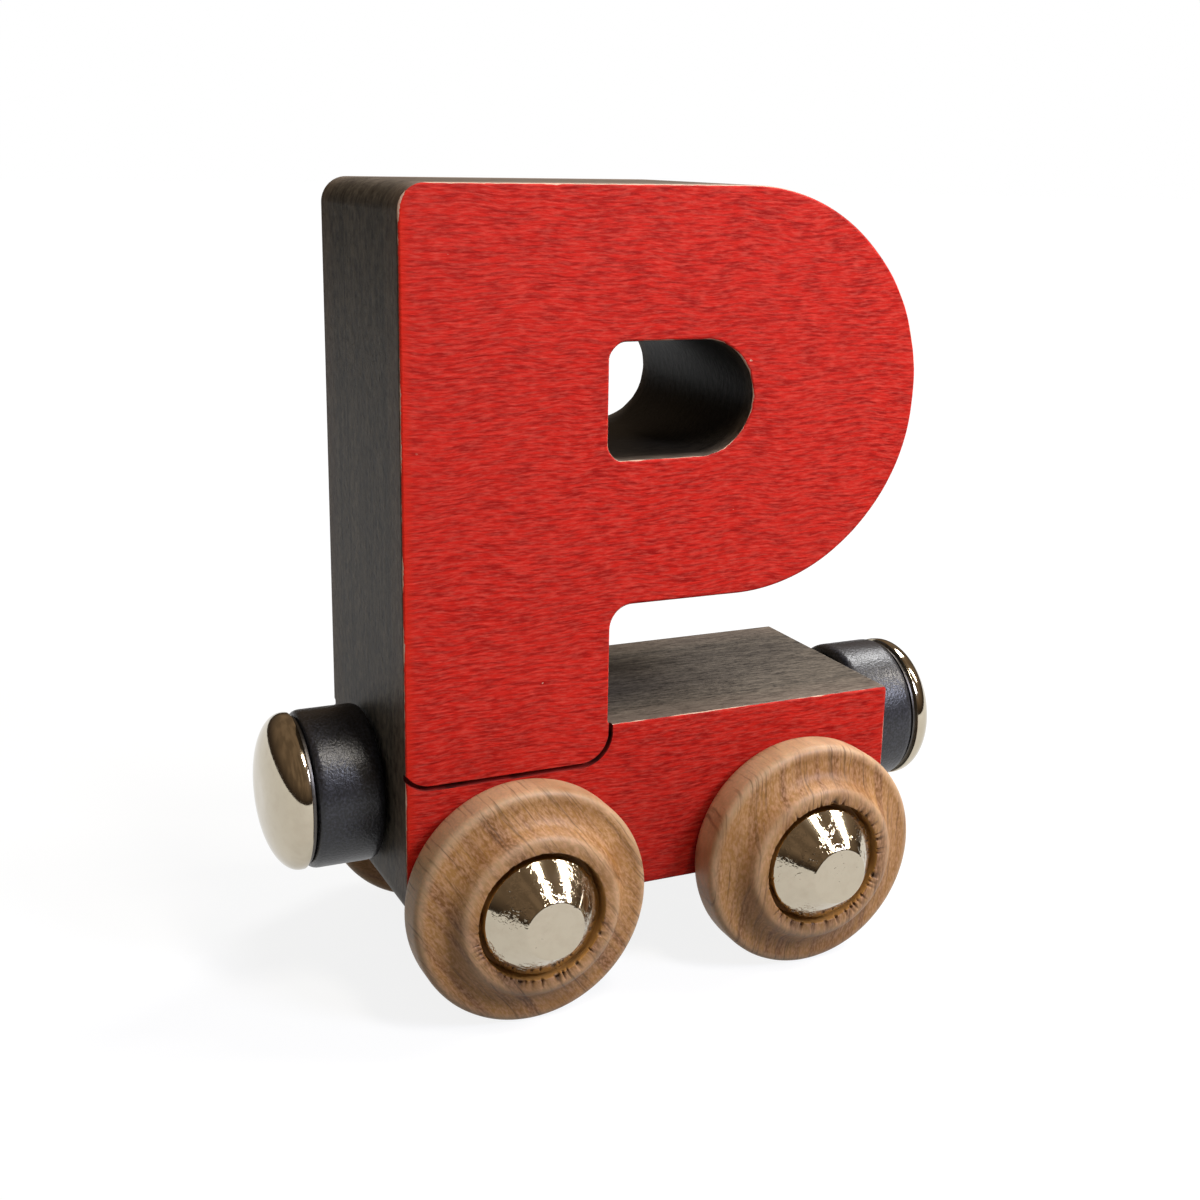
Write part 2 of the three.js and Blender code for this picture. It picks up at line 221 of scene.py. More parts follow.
stain = {
    "deepRed": "#9c0f09", "red": "#cf2216", "paleRed": "#e05848", "dustAndSheen": "#c93226", "smooth": "#d3240f",
    "black": "#080604", "grey": "#685e50", "brown": "#7c5f48", "upPale": "#8d8378", "crest": "#a59384",
    "bare": "#d2aa90", "groove": "#160705", "grooveRed": "#86201a",
    "streak": (2.2, 3.0, 0.27), "fleck": (0.9, 3.0, 0.17), "fibre": (1.7, 0.28, 0.2),
    "grit": (0.4, 0.22, 0.6), "dash": (0.5, 0.5, 0.8), "ring": (50.0, 1.1, 33.333),
    "waver": 9.0, "bend": (0, 0.5, 1.5), "blotch": 15.0, "wearRun": 3.5,  # mm
    # the red faces: grain, dust and painted sheen, a smooth strip beside the left arris, and painted shade
    # that darkens the red towards the foot
    "streakSpan": (0.34, 0.62), "fleckSpan": (0.44, 0.72, 0, 0.55), "dustAndSheenSpan": (0.35, 0.75, 0, 0.18),
    "stripRun": (-20.3, -21.0, 0, 0.7), "footShadeRise": (13.0, 26.0, 0.74, 1.0),
    # the black edges: faint growth rings, end grain where a face looks along the car, and one fine check
    "faintSpan": (0.3, 0.6, 0.86, 1.0), "toneSpan": (0.74, 1.26),
    "endTurn": (0.6, 0.9), "dashSpan": (0.27, 0.70, 0, 1.1), "deepSpan": (0.36, 0.56, 0.6, 1.0),
    "check": 3.5, "checkSway": 0.15, "checkWidth": 0.16, "checkShade": 0.45,
    # wear towards the broad faces, a paler tone on faces that look up, and the rubbed top of the letter
    "halfThickness": 9.7, "rubMost": 0.55,
    "upTurn": (0.6, 0.95), "upPaleFrom": 6.5, "upPaleShare": (0.36, 0.7),
    "crestRise": (60.6, 62.8), "crestRun": (-19.0, -11.0, 0.15, 0.7),
    "crestFrom": 5.0, "crestShare": (0.2, 0.9),
    # the hole in the letter: its middle and reach, the painted shade inside it, and where that shade lifts at
    # its lip
    "hole": (0.9, 0, 47.2), "holeReach": 6.9, "holeSoft": 0.2, "holeShade": 0.12,
    "lipFrom": 7.8, "lipShare": 0.8,
    # where red meets black, in mm from the middle plane, and the bare wood there
    "lineAt": 9.61, "lineSoft": 0.02, "lineSway": 0.05, "bareSpan": (0.48, 0.70, 0.001, 0.07),
    "chip": (-20.95, -9.6, 61.2), "chipReach": (1.15, 0.75, 0, 0.06),
    "ridgeRise": (61.9, 62.5, 0, 0.035), "ridgeRun": (-19.4, -18.9),
    "roughness": (0, 1, 0.50, 0.60), "grooveRough": (0, 1, 0.6, 0.85), "missedSpan": (0.42, 0.60),
}


# Hard maple plank, sanded and dyed. The red dye on the broad faces lets fine wavy grain show through; the
# sawn edges took a black dye, and along the arrises both are rubbed through to bare wood.
def stainedMaple():
    s = stain
    material, tree, p = startMaterial("dyed maple, red faces and black edges")
    sway = put(tree, "TexNoise", {"Vector": p, "Scale": 1 / s["waver"], "Detail": 2.0}).outputs[1]
    bent = put(tree, "VectorMath", {0: sway, 1: s["bend"], 2: p}, operation="MULTIPLY_ADD").outputs[0]
    sized = {}
    for key, detail, rough in (("streak", 4, 0.6), ("fleck", 4, 0.6), ("fibre", 4, 0.6), ("grit", 4, 0.6),
                               ("dash", 4, 0.6), ("ring", 3, 0.5)):
        scale = tuple(1 / size for size in s[key])
        vector = put(tree, "Mapping", {"Vector": bent, "Scale": scale}).outputs[0]
        noise = {"Vector": vector, "Scale": 1.0, "Detail": detail, "Roughness": rough}
        sized[key] = put(tree, "TexNoise", noise).outputs[0]
    blotch = put(tree, "TexNoise", {"Vector": p, "Scale": 1 / s["blotch"], "Detail": 2.0}).outputs[0]
    axes = put(tree, "SeparateXYZ", {0: p}).outputs
    normal = put(tree, "SeparateXYZ", {0: put(tree, "TexCoord").outputs["Normal"]}).outputs
    depth = put(tree, "Math", {0: axes["Y"]}, operation="ABSOLUTE").outputs[0]
    half = s["halfThickness"]
    # red face: dark streaks, pale flecks, pale blotches of dust and painted sheen, and painted shade towards
    # the foot
    streak = (sized["streak"], *s["streakSpan"])
    dark = put(tree, "MapRange", streak, interpolation_type="SMOOTHSTEP").outputs[0]
    pale = put(tree, "MapRange", (sized["fleck"], *s["fleckSpan"])).outputs[0]
    # dust and painted sheen: pale blotches at random over the red
    dustAndSheenShare = put(tree, "MapRange", (blotch, *s["dustAndSheenSpan"])).outputs[0]
    strip = put(tree, "MapRange", (axes["X"], *s["stripRun"])).outputs[0]
    red = hexColour(s["deepRed"])
    for share, tint in ((dark, "red"), (pale, "paleRed"), (dustAndSheenShare, "dustAndSheen"), (strip, "smooth")):
        red = put(tree, "Mix", {0: share, 6: red, 7: hexColour(s[tint])}, data_type="RGBA").outputs[2]
    # painted shade: the red darkens towards the bottom of the plank
    footShade = put(tree, "MapRange", (axes["Z"], *s["footShadeRise"])).outputs[0]
    red = put(tree, "VectorMath", {0: red, "Scale": footShade}, operation="SCALE").outputs[0]
    # black edge: fibres from the side, dashes from the end, growth rings and a check
    faint = put(tree, "MapRange", (sized["ring"], *s["faintSpan"])).outputs[0]
    tone = put(tree, "Math", {0: sized["fibre"], 1: sized["grit"]}, operation="ADD").outputs[0]
    tone = put(tree, "Math", {0: tone, 1: faint}, operation="MULTIPLY").outputs[0]
    tone = put(tree, "MapRange", (tone, *s["toneSpan"])).outputs[0]
    ends = put(tree, "Math", {0: normal["X"]}, operation="ABSOLUTE").outputs[0]
    ends = put(tree, "MapRange", (ends, *s["endTurn"])).outputs[0]
    dashes = put(tree, "MapRange", (sized["dash"], *s["dashSpan"])).outputs[0]
    deep = put(tree, "MapRange", (sized["ring"], *s["deepSpan"])).outputs[0]
    dashes = put(tree, "Math", {0: dashes, 1: deep}, operation="MULTIPLY").outputs[0]
    tone = put(tree, "Mix", {0: ends, 2: tone, 3: dashes}).outputs[0]
    checkRun = (s["check"] - s["checkSway"], s["check"] + s["checkSway"])
    check = put(tree, "MapRange", (sized["streak"], 0, 1, *checkRun)).outputs[0]
    check = put(tree, "Math", {0: axes["Y"], 1: check, 2: s["checkWidth"]}, operation="COMPARE").outputs[0]
    check = put(tree, "MapRange", (check, 0, 1, 1, s["checkShade"])).outputs[0]
    tone = put(tree, "Math", {0: tone, 1: check}, operation="MULTIPLY").outputs[0]
    # brown where it is rubbed, a paler tone on the faces that look up, most of it by the arrises, and the
    # pale top
    near = put(tree, "MapRange", (depth, half - s["wearRun"], half, 0, s["rubMost"])).outputs[0]
    rubbed = put(tree, "Math", {0: near, 1: sized["fibre"]}, operation="MULTIPLY").outputs[0]
    top = put(tree, "MapRange", (normal["Z"], *s["upTurn"])).outputs[0]
    edge = put(tree, "MapRange", (depth, s["upPaleFrom"], half, *s["upPaleShare"])).outputs[0]
    upPale = put(tree, "Math", {0: top, 1: edge}, operation="MULTIPLY").outputs[0]
    upPale = put(tree, "Math", {0: upPale, 1: sized["fibre"]}, operation="MULTIPLY").outputs[0]
    crest = put(tree, "MapRange", (axes["Z"], *s["crestRise"])).outputs[0]
    along = put(tree, "MapRange", (axes["X"], *s["crestRun"])).outputs[0]
    crest = put(tree, "Math", {0: crest, 1: along}, operation="MULTIPLY").outputs[0]
    thin = put(tree, "MapRange", (depth, s["crestFrom"], half, *s["crestShare"])).outputs[0]
    crest = put(tree, "Math", {0: crest, 1: thin}, operation="MULTIPLY").outputs[0]
    black = hexColour(s["black"])
    for share, tint in ((tone, "grey"), (rubbed, "brown"), (upPale, "upPale"), (crest, "crest")):
        black = put(tree, "Mix", {0: share, 6: black, 7: hexColour(s[tint])}, data_type="RGBA").outputs[2]
    # painted shade inside the letter's hole, lifted towards its lip
    flat = put(tree, "CombineXYZ", {0: axes["X"], 2: axes["Z"]}).outputs[0]
    away = put(tree, "VectorMath", {0: flat, 1: s["hole"]}, operation="DISTANCE").outputs["Value"]
    reach = s["holeReach"]
    shade = put(tree, "MapRange", (away, reach, reach + s["holeSoft"], s["holeShade"], 1)).outputs[0]
    lip = put(tree, "MapRange", (depth, s["lipFrom"], s["lineAt"], 0, s["lipShare"])).outputs[0]
    shade = put(tree, "Math", {0: shade, 1: lip}, operation="MAXIMUM").outputs[0]
    black = put(tree, "VectorMath", {0: black, "Scale": shade}, operation="SCALE").outputs[0]
    # the line where they meet
    shift = put(tree, "MapRange", (sized["fleck"], 0, 1, -s["lineSway"], s["lineSway"])).outputs[0]
    line = put(tree, "Math", {0: depth, 1: shift}, operation="ADD").outputs[0]
    soft = (s["lineAt"] - s["lineSoft"], s["lineAt"] + s["lineSoft"])
    face = put(tree, "MapRange", (line, *soft)).outputs[0]
    colour = put(tree, "Mix", {0: face, 6: black, 7: red}, data_type="RGBA").outputs[2]
    # bare wood along it: here and there, at the knocked corner and along the top
    off = put(tree, "Math", {0: line, 1: s["lineAt"]}, operation="SUBTRACT").outputs[0]
    off = put(tree, "Math", {0: off}, operation="ABSOLUTE").outputs[0]
    wear = put(tree, "TexNoise", {"Vector": p, "Scale": 1 / s["wearRun"], "Detail": 3.0}).outputs[0]
    width = put(tree, "MapRange", (wear, *s["bareSpan"])).outputs[0]
    chip = put(tree, "VectorMath", {0: p, 1: s["chip"]}, operation="DISTANCE").outputs["Value"]
    chip = put(tree, "MapRange", (chip, *s["chipReach"])).outputs[0]
    ridge = put(tree, "MapRange", (axes["Z"], *s["ridgeRise"])).outputs[0]
    past = put(tree, "MapRange", (axes["X"], *s["ridgeRun"])).outputs[0]
    ridge = put(tree, "Math", {0: ridge, 1: past}, operation="MULTIPLY").outputs[0]
    for least in (chip, ridge):
        width = put(tree, "Math", {0: width, 1: least}, operation="MAXIMUM").outputs[0]
    bare = put(tree, "Math", {0: off, 1: width}, operation="LESS_THAN").outputs[0]
    colour = put(tree, "Mix", {0: bare, 6: colour, 7: hexColour(s["bare"])}, data_type="RGBA").outputs[2]
    rough = put(tree, "MapRange", (face, *s["roughness"])).outputs[0]
    relief = put(tree, "Mix", {0: ends, 2: sized["fibre"], 3: sized["dash"]}).outputs[0]
    bump = put(tree, "Bump", {"Height": relief, "Strength": 0.6, "Distance": 0.08 * mm}).outputs[0]
    shader = put(tree, "BsdfPrincipled", {
        "Base Color": colour, "Roughness": rough, "Normal": bump, "Specular IOR Level": 0.11,
    })
    endMaterial(tree, shader)
    return material


# The engraved line is cut through the red dye and filled with black: a matt line with a trace of red.
def engravedLine():
    s = stain
    material, tree, p = startMaterial("black dye in the engraved line")
    grit = put(tree, "TexNoise", {"Vector": p, "Scale": 1 / s["grit"][0], "Detail": 2.0}).outputs[0]
    rough = put(tree, "MapRange", (grit, *s["grooveRough"])).outputs[0]
    run = put(tree, "TexNoise", {"Vector": p, "Scale": 1 / s["wearRun"], "Detail": 3.0}).outputs[0]
    missed = put(tree, "MapRange", (run, *s["missedSpan"])).outputs[0]
    dye = {0: missed, 6: hexColour(s["groove"]), 7: hexColour(s["grooveRed"])}
    colour = put(tree, "Mix", dye, data_type="RGBA").outputs[2]
    shader = put(tree, "BsdfPrincipled", {
        "Base Color": colour, "Roughness": rough, "Specular IOR Level": 0.1,
    })
    endMaterial(tree, shader)
    return material


bareMaple = {
    "mid": "#764b22", "pale": "#9f713b", "cream": "#c2a683", "pink": "#cc9c76", "amber": "#7c4c19",
    "line": "#3f2611", "torn": "#c08a48", "split": "#2e1c0c",
    "ring": (0.8, 9.0, 22.0), "lines": (0.22, 4.0, 7.0), "fibre": (0.17, 0.3, 0.45), "blotch": 4.0,  # mm
    "ringSpan": (0.36, 0.56), "pinkSpan": (0.40, 0.66, 0, 0.55), "warmSpan": (0.5, 0.75, 0, 0.5),
    "lineSpan": (0.43, 0.27, 0, 0.62), "creamShare": 0.6, "roughness": (0, 1, 0.38, 0.60),
}


# Maple turned across the grain and left bare under a thin coat: growth rings cross the wheel as fine dark
# lines, and the fibres between them show as short dashes. The tread is palest, partly as sanded wood and
# partly as a painted highlight, and the hub's edge is paler as a painted highlight. The counterbore is raw,
# and the splits at its lip are dark.
def turnedMaple(name, turn, swing, start):
    b = bareMaple
    material, tree, p = startMaterial(name)
    grain = {"Vector": p, "Rotation": (0, math.radians(turn), 0), "Location": (start, 0, start)}
    turned = put(tree, "Mapping", grain).outputs[0]
    sway = put(tree, "TexNoise", {"Vector": p, "Scale": 1 / b["blotch"], "Detail": 2.0}).outputs
    bend = {0: sway[1], 1: (swing, 0, 0), 2: turned}
    bent = put(tree, "VectorMath", bend, operation="MULTIPLY_ADD").outputs[0]
    sized = {}
    for key in ("ring", "lines", "fibre"):
        scale = tuple(1 / size for size in b[key])
        vector = put(tree, "Mapping", {"Vector": bent, "Scale": scale}).outputs[0]
        sized[key] = put(tree, "TexNoise", {"Vector": vector, "Scale": 1.0, "Detail": 3.0}).outputs[0]
    wornAndLit = {}
    for key in ("sanded", "torn", "split"):
        wornAndLit[key] = put(tree, "Attribute", attribute_name=key).outputs["Fac"]
    tone = put(tree, "MapRange", (sized["ring"], *b["ringSpan"])).outputs[0]
    # cream on the tread and the hub's edge: on the tread partly sanded wood, partly painted highlight; on the
    # hub's edge painted highlight
    cream = put(tree, "Math", {0: wornAndLit["sanded"], 1: b["creamShare"]}, operation="MULTIPLY").outputs[0]
    pink = put(tree, "MapRange", (sized["fibre"], *b["pinkSpan"])).outputs[0]
    warm = put(tree, "MapRange", (sway[0], *b["warmSpan"])).outputs[0]
    dark = put(tree, "MapRange", (sized["lines"], *b["lineSpan"])).outputs[0]
    colour = hexColour(b["mid"])
    for share, tint in ((tone, "pale"), (cream, "cream"), (pink, "pink"), (warm, "amber"), (dark, "line"),
                        (wornAndLit["torn"], "torn"), (wornAndLit["split"], "split")):
        colour = put(tree, "Mix", {0: share, 6: colour, 7: hexColour(b[tint])}, data_type="RGBA").outputs[2]
    rough = put(tree, "MapRange", (sized["fibre"], *b["roughness"])).outputs[0]
    bump = put(tree, "Bump", {"Height": sized["fibre"], "Strength": 0.45, "Distance": 0.04 * mm}).outputs[0]
    shader = put(tree, "BsdfPrincipled", {
        "Base Color": colour, "Roughness": rough, "Normal": bump, "Specular IOR Level": 0.34,
    })
    endMaterial(tree, shader)
    return material


nickel = {
    "plate": "#bdb39f", "shade": "#b7ac98", "ripple": 0.5, "cloud": 0.9, "pits": 0.3, "patch": 1.6,  # mm
    "dullSpan": (0.45, 0.8), "roughness": (0.35, 0.75, 0.06, 0.12),
    "patchSpan": (0.42, 0.6), "pitSpan": (0.48, 0.66),
}


# Bright nickel plate over turned steel: a warm mirror, with the faint ripple and pits of the metal under it.
# The cone pins were plated over a rougher turning, whose pits break up the streaks of light.
def nickelPlate(name, pitting):
    n = nickel
    material, tree, p = startMaterial(name)
    ripple = put(tree, "TexNoise", {"Vector": p, "Scale": 1 / n["ripple"], "Detail": 3.0}).outputs[0]
    cloud = put(tree, "TexNoise", {"Vector": p, "Scale": 1 / n["cloud"], "Detail": 5.0}).outputs[0]
    dull = put(tree, "MapRange", (cloud, *n["dullSpan"])).outputs[0]
    metal = {0: dull, 6: hexColour(n["plate"]), 7: hexColour(n["shade"])}
    colour = put(tree, "Mix", metal, data_type="RGBA").outputs[2]
    rough = put(tree, "MapRange", (cloud, *n["roughness"])).outputs[0]
    bump = put(tree, "Bump", {"Height": ripple, "Strength": 0.2, "Distance": 0.012 * mm}).outputs[0]
    if pitting:
        patch = put(tree, "TexNoise", {"Vector": p, "Scale": 1 / n["patch"], "Detail": 1.0}).outputs[0]
        patch = put(tree, "MapRange", (patch, *n["patchSpan"])).outputs[0]
        pits = put(tree, "TexNoise", {"Vector": p, "Scale": 1 / n["pits"], "Detail": 2.0}).outputs[0]
        pits = put(tree, "MapRange", (pits, *n["pitSpan"])).outputs[0]
        pits = put(tree, "Math", {0: pits, 1: patch}, operation="MULTIPLY").outputs[0]
        pitted = {"Height": pits, "Strength": pitting, "Distance": 0.03 * mm, "Normal": bump}
        bump = put(tree, "Bump", pitted).outputs[0]
    shader = put(tree, "BsdfPrincipled", {
        "Base Color": colour, "Metallic": 1.0, "Roughness": rough, "Normal": bump,
    })
    endMaterial(tree, shader)
    return material


ferrite = {
    "dark": "#19191a", "grain": "#39393f", "grit": 0.2, "cloud": 2.0,  # mm
    "grainSpan": (0.4, 0.75), "roughness": (0.3, 0.7, 0.30, 0.38),
}


# Sintered ferrite, ground on its round side: a satin charcoal ceramic whose fine grit breaks up the
# highlight.
def sinteredFerrite():
    f = ferrite
    material, tree, p = startMaterial("sintered ferrite")
    grit = put(tree, "TexNoise", {"Vector": p, "Scale": 1 / f["grit"], "Detail": 2.0}).outputs[0]
    cloud = put(tree, "TexNoise", {"Vector": p, "Scale": 1 / f["cloud"], "Detail": 3.0}).outputs[0]
    light = put(tree, "MapRange", (grit, *f["grainSpan"])).outputs[0]
    sinter = {0: light, 6: hexColour(f["dark"]), 7: hexColour(f["grain"])}
    colour = put(tree, "Mix", sinter, data_type="RGBA").outputs[2]
    rough = put(tree, "MapRange", (cloud, *f["roughness"])).outputs[0]
    bump = put(tree, "Bump", {"Height": grit, "Strength": 1.0, "Distance": 0.035 * mm}).outputs[0]
    shader = put(tree, "BsdfPrincipled", {
        "Base Color": colour, "Roughness": rough, "Normal": bump, "IOR": 1.48,
    })
    endMaterial(tree, shader)
    return material


steel = {"dark": "#4a4744", "light": "#6b6762", "scuff": 0.4, "roughness": (0, 1, 0.3, 0.55)}  # scuff in mm


# Thin rolled steel washer, oiled: dark grey with fine scuffs.
def oiledSteel():
    material, tree, p = startMaterial("oiled steel")
    scuff = put(tree, "TexNoise", {"Vector": p, "Scale": 1 / steel["scuff"], "Detail": 4.0}).outputs[0]
    rolled = {0: scuff, 6: hexColour(steel["dark"]), 7: hexColour(steel["light"])}
    colour = put(tree, "Mix", rolled, data_type="RGBA").outputs[2]
    rough = put(tree, "MapRange", (scuff, *steel["roughness"])).outputs[0]
    shader = put(tree, "BsdfPrincipled", {"Base Color": colour, "Metallic": 1.0, "Roughness": rough})
    endMaterial(tree, shader)
    return material


plate, pittedPlate = nickelPlate("bright nickel plate", 0), nickelPlate("pitted nickel plate", 0.6)
magnetBlack, washerSteel = sinteredFerrite(), oiledSteel()
print("finishes made")


# Letter body: one plank, cut round, with an engraved line on both broad faces
letter = {
    "baseHeight": 14.1, "baseRound": 2.0, "cornerRound": 0.35, "stemWidth": 16.55, "stemRound": 2.0,
    "bowlStraight": 11.0, "bowlStroke": 11.25, "bowlFillet": 1.9,
    "counterHeight": 8.8, "counterWidth": 12.15, "counterIntoStem": 0.45, "counterRound": 1.4,
    "ease": 0.25, "easeSway": 0.07, "easeSteps": 5, "knots": 90, "seed": 11,
    "lineWidth": 0.32, "lineDepth": 0.5, "lineLip": 0.05, "lineRound": 2.5, "lineDrop": 3.1, "lineSteps": 9,
    "lineBesideStem": 0.05, "linePastEnd": 0.5,
    "axleHole": 1.1, "axleTip": 1.3, "domeHole": 1.7, "domeTip": 11.4, "holeTurns": 32, "overrun": 1.0,
    "sharp": 32,  # degrees
}


# Arcs of (centre x, centre z, radius, from, to, steps) in quarter turns; straight runs join their ends.
# A falling angle marks a hollow arc, whose outward normal points to its centre.
def arcLoop(arcs):
    points, normals = [], []
    for x, z, radius, start, stop, steps in arcs:
        angle = np.linspace(start, stop, steps) * np.pi / 2
        ray = np.stack([np.cos(angle), np.sin(angle)], axis=1)
        points.append(np.array((x, z)) + radius * ray)
        normals.append(ray if stop > start else -ray)
    return np.concatenate(points), np.concatenate(normals)


# The loop's section across the plank: a quarter round at each broad face and a straight run between them.
# The round's size sways along the loop, as hand sanding leaves it.
def edgeGrid(points, normals, half, random):
    step = np.linalg.norm(np.roll(points, -1, axis=0) - points, axis=1)
    places = np.concatenate([[0], np.cumsum(step)[:-1]]) / step.sum()
    turn = np.linspace(0, np.pi / 2, letter["easeSteps"])
    columns = []
    for side in (-1, 1):
        ease = letter["ease"] + letter["easeSway"] * loopNoise(places, letter["knots"], random)
        inset = ease[:, None] * (1 - np.sin(turn))
        across = side * (half - ease[:, None] * (1 - np.cos(turn)))
        rim = points[:, None] - normals[:, None] * inset[..., None]
        columns.append(np.stack([rim[..., 0], across, rim[..., 1]], axis=-1)[:, ::-side])
    return np.concatenate(columns, axis=1)


# The engraved line: a round-bottomed section with flared lips, carried along level, corner and upright runs
def lineGrid(path, normals, face, side):
    half, lip, depth = letter["lineWidth"] / 2, letter["lineLip"], letter["lineDepth"]
    turn = np.linspace(0, np.pi, letter["lineSteps"])
    bowl = np.stack([half * np.cos(turn), half - depth - half * np.sin(turn)], axis=1)
    top = letter["overrun"]
    section = np.concatenate([[(half + lip, top), (half + lip, 0.0), (half, -lip)], bowl,
                              [(-half, -lip), (-half - lip, 0.0), (-half - lip, top)]])
    flat = path[:, None] + normals[:, None] * section[None, :, :1]
    across = np.broadcast_to(side * (face + section[:, 1]), flat.shape[:2])
    return np.stack([flat[..., 0], across, flat[..., 1]], axis=-1)


# A drilled hole: straight from its flat blind end out past the face
def holeProfile(radius, tip, mouth):
    return np.array([(0, tip), (radius, tip), (radius, mouth), (0, mouth)], float)


# The outline of base, stem and bowl and the loop of the hole are carried across the plank, and what was cut
# out is taken away: the line on both faces, the axle holes and the coupling holes.
def makeLetter():
    d = letter
    low, high = millimetres(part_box("letter_body"))
    left, bottom, half, top = low[0], low[2], high[1], high[2]
    radius = d["counterHeight"] / 2 + d["bowlStroke"]
    stem, baseTop = left + d["stemWidth"], bottom + d["baseHeight"]
    right = -left
    middle, under = top - radius, top - 2 * radius
    bowl = stem + d["bowlStraight"]
    b, c, f, r = d["baseRound"], d["cornerRound"], d["bowlFillet"], d["stemRound"]
    outer = arcLoop([
        (left + b, bottom + b, b, 2, 3, 12), (right - b, bottom + b, b, 3, 4, 12),
        (right - c, baseTop - c, c, 0, 1, 7), (stem + c, baseTop + c, c, -1, -2, 7),
        (stem + f, under - f, f, 2, 1, 12), (bowl, middle, radius, -1, 1, 97),
        (left + r, top - r, r, 1, 2, 14),
    ])
    h, k = d["counterHeight"] / 2, d["counterRound"]
    hole = stem - d["counterIntoStem"]
    counter = arcLoop([
        (hole + k, middle + h - k, k, 2, 1, 10), (hole + d["counterWidth"] - h, middle, h, 1, -1, 49),
        (hole + k, middle - h + k, k, -1, -2, 10),
    ])
    random = np.random.default_rng(d["seed"])
    edges = [(edgeGrid(*loop, half, random), True, False) for loop in (outer, counter)]
    mesh = closeMesh(meshFrom("plank_letter", edges))
    q, level = d["lineRound"], baseTop - d["lineDrop"]
    corner = stem + d["lineBesideStem"] - q + d["lineWidth"] / 2
    line, lineNormals = arcLoop([
        (left - d["linePastEnd"] + q, level + q, q, 2, 3, 16), (corner, level + q, q, 3, 4, 16),
    ])
    line = np.vstack([line, line[-1] + (0, d["overrun"] + d["lineDrop"] - q)])
    lineNormals = np.vstack([lineNormals, lineNormals[-1]])
    cutters = [(lineGrid(line, lineNormals, half, side), False, True) for side in (-1, 1)]
    profile = holeProfile(d["axleHole"], d["axleTip"], half + d["overrun"])
    for station in ("front_left", "front_right", "back_left", "back_right"):
        pinLow, pinHigh = millimetres(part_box("axle_pin_" + station))
        outward = 1 if pinHigh[1] > half else -1
        seat = ((pinLow[0] + pinHigh[0]) / 2, 0, (pinLow[2] + pinHigh[2]) / 2)
        cutters.append((turnedGrid(profile, d["holeTurns"], seat, (0, outward, 0)), True, False))
    profile = holeProfile(d["domeHole"], right - d["domeTip"], right + d["overrun"])
    magnetLow, magnetHigh = millimetres(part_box("magnet_left"))
    seat = (0, 0, (magnetLow[2] + magnetHigh[2]) / 2)
    for outward in (-1, 1):
        cutters.append((turnedGrid(profile, d["holeTurns"], seat, (outward, 0, 0)), True, False))
    cutterMesh = closeMesh(meshFrom("cutter", cutters))
    cutterMesh.materials.append(engravedLine())
    cutter = bpy.data.objects.new("cutter", cutterMesh)
    scene.collection.objects.link(cutter)
    piece = place(mesh, "letter_body", "car_body", [stainedMaple()])
    cut = piece.modifiers.new("cut", "BOOLEAN")
    cut.object, cut.operation, cut.solver, cut.material_mode = cutter, "DIFFERENCE", "EXACT", "TRANSFER"
    bpy.context.view_layer.update()
    done = bpy.data.meshes.new_from_object(piece.evaluated_get(bpy.context.evaluated_depsgraph_get()))
    piece.modifiers.clear()
    bpy.data.objects.remove(cutter)
    piece.data = done
    done.name = "plank_letter"
    smoothMesh(done, d["sharp"])
    even = piece.modifiers.new("even", "WEIGHTED_NORMAL")
    even.keep_sharp = True


makeLetter()
print("letter body cut")


# Wheels: turned, with a rounded rim, a face that slopes up to the hub ring, and a torn counterbore
wheel = {
    "turns": 512, "easeSteps": 7, "sharp": 40,  # degrees
    "bore": 1.3, "hub": 6.3, "counterbore": 5.15, "counterboreDepth": 2.0, "rimWidth": 3.5,
    "faceRadius": 8.3, "coveRadius": 7.1, "coveRise": 0.2, "lipDrop": 0.45,
    "rimEase": 0.8, "backEase": 1.1, "faceEase": 0.3, "coveEase": 0.6, "hubEase": 0.45, "lipEase": 0.12,
    "boreEase": 0.1, "floorEase": 0.15,
    # the torn lip: teeth round it, their size and reach, and how they fade past the torn arc
    "teeth": 170, "toothPower": 1.3, "toothWide": 0.3, "toothDeep": 0.34, "toothReach": 0.16, "seed": 5,
    "tearKnots": 9, "tearFull": 1.6, "tearPower": 3, "tearSway": 0.4, "tearLeast": 0.12,
    # how far the raw bore, the dark splits, the hub's edge with its painted highlight and the pale tread show
    "rawPast": 0.02, "rawBelow": 0.1, "rawShare": 0.9, "splitShare": 1.5, "splitMost": 0.9,
    "edgeInset": 0.1, "edgeReach": 0.5, "hubHighlightShare": 0.7, "treadPast": 0.4, "treadFade": 0.6,
    "grain": {"front_left": (36, 0.5, 0.4), "front_right": (-3, 0.6, 3.0),
              "back_left": (68, 0.5, 5.0), "back_right": (-40, 0.6, 8.0)},  # turn, sway of the rings, start
    "tear": {"front_left": (0.48, 0.22), "front_right": (0.70, 0.38),
             "back_left": (0.3, 0.3), "back_right": (0.8, 0.25)},  # middle and reach in turns from the top
}


